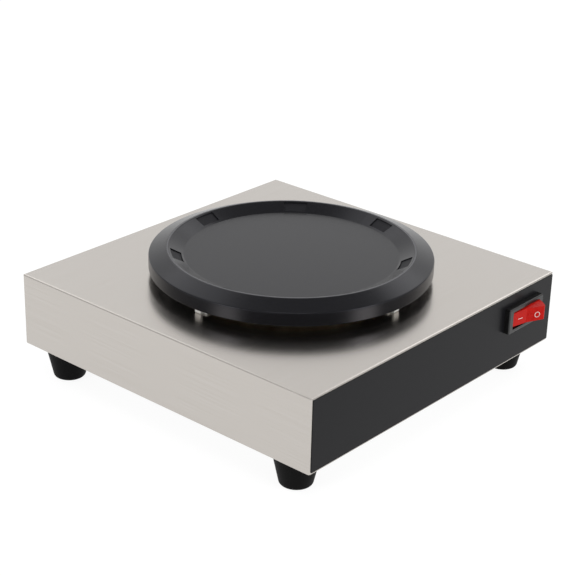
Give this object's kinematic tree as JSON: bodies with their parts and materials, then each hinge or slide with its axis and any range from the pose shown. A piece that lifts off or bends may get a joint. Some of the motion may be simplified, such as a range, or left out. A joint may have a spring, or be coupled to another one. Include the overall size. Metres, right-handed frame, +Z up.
{
  "type": "decanter warmer",
  "caption": "Low square steel warmer on tapered rubber feet, with a round dished hot plate on top to keep a decanter warm and a lit rocker switch in the dark front panel.",
  "frame": {"origin": "on the table, under the middle of the housing", "axes": "+Z up, -Y out of the front panel, +X to the right seen from the front, towards the switch"},
  "size_m": [0.2, 0.2164, 0.073],
  "materials": {
    "brushed_stainless": "brushed stainless sheet, grain along the width",
    "galvanised_sheet": "zinc-coated pressed sheet",
    "zinc_fastener": "zinc-plated turned steel",
    "black_rubber": "matt moulded rubber",
    "graphite_overlay": "smooth graphite overlay, slightly glossy",
    "switch_black": "black moulded plastic",
    "red_lens": "red translucent glossy plastic",
    "nylon": "natural nylon",
    "spring_steel": "bright spring wire",
    "brass_contact": "bright brass strip",
    "copper_contact": "copper alloy strip",
    "lamp_glass": "clear glow-lamp glass",
    "plate_coating": "charcoal baked coating on a casting",
    "bright_stainless": "bright stainless strip",
    "mica": "pressed mica sheet",
    "resistance_alloy": "etched resistance foil",
    "reflector": "bright pressed aluminium",
    "ceramic": "glazed ceramic",
    "phenolic": "brown phenolic and pressed cap",
    "brown_insulation": "brown silicone insulation",
    "blue_insulation": "blue silicone insulation",
    "white_insulation": "white sleeved insulation",
    "green_insulation": "green and yellow insulation"
  },
  "bodies": {
    "housing": {"housing_shell": "brushed_stainless", "base_plate": "galvanised_sheet", "corner_brackets": "galvanised_sheet", "weld_nuts": "zinc_fastener", "foot_front_left": "black_rubber", "foot_front_right": "black_rubber", "foot_rear_left": "black_rubber", "foot_rear_right": "black_rubber", "foot_screws": "zinc_fastener", "foot_washers": "zinc_fastener", "front_overlay": "graphite_overlay", "switch_housing": "switch_black", "line_terminal": "brass_contact", "load_terminal": "brass_contact", "lamp_terminal": "brass_contact", "warming_plate": "plate_coating", "rim_standoffs": "bright_stainless", "standoff_rivets": "zinc_fastener", "upper_mica": "mica", "heating_track": "resistance_alloy", "lower_mica": "mica", "clamp_plate": "galvanised_sheet", "stud_sleeve": "zinc_fastener", "heat_shield": "reflector", "shield_spacer": "zinc_fastener", "plate_stud": "zinc_fastener", "stud_washer": "zinc_fastener", "stud_nut": "zinc_fastener", "tail_pins": "resistance_alloy", "tail_bushings": "ceramic", "thermostat": "phenolic", "thermostat_blades": "brass_contact", "thermostat_strap": "galvanised_sheet", "strap_screws": "zinc_fastener", "thermal_fuse": "ceramic", "fuse_clip": "spring_steel", "clip_rivet": "zinc_fastener", "terminal_block": "ceramic", "block_clamps": "brass_contact", "block_screws": "zinc_fastener", "earth_screw": "brass_contact", "earth_lug": "brass_contact", "earth_nut": "zinc_fastener", "cord_gland": "switch_black", "gland_nut": "switch_black", "live_lead": "brown_insulation", "switched_lead": "brown_insulation", "lamp_lead": "blue_insulation", "neutral_lead": "blue_insulation", "fuse_lead_in": "white_insulation", "fuse_lead_out": "white_insulation", "earth_lead": "green_insulation"},
    "rocker": {"switch_rocker": "red_lens", "rocker_plunger": "nylon", "plunger_spring": "spring_steel", "neon_lamp": "lamp_glass"},
    "contact": {"contact_arm": "copper_contact"}
  },
  "joints": [
    {"name": "rocker_tilt", "type": "hinge", "parent": "housing", "child": "rocker", "pos_m": [0.0707, -0.1014, 0.0432], "axis": [0, 0, 1], "range_deg": [0, 36]},
    {"name": "contact_tilt", "type": "hinge", "parent": "housing", "child": "contact", "pos_m": [0.0707, -0.0916, 0.0432], "axis": [0, 0, 1], "range_deg": [-12, 0]}
  ],
  "couplings": [
    {"joint": "contact_tilt", "follows": "rocker_tilt", "ratio": -0.3333}
  ]
}
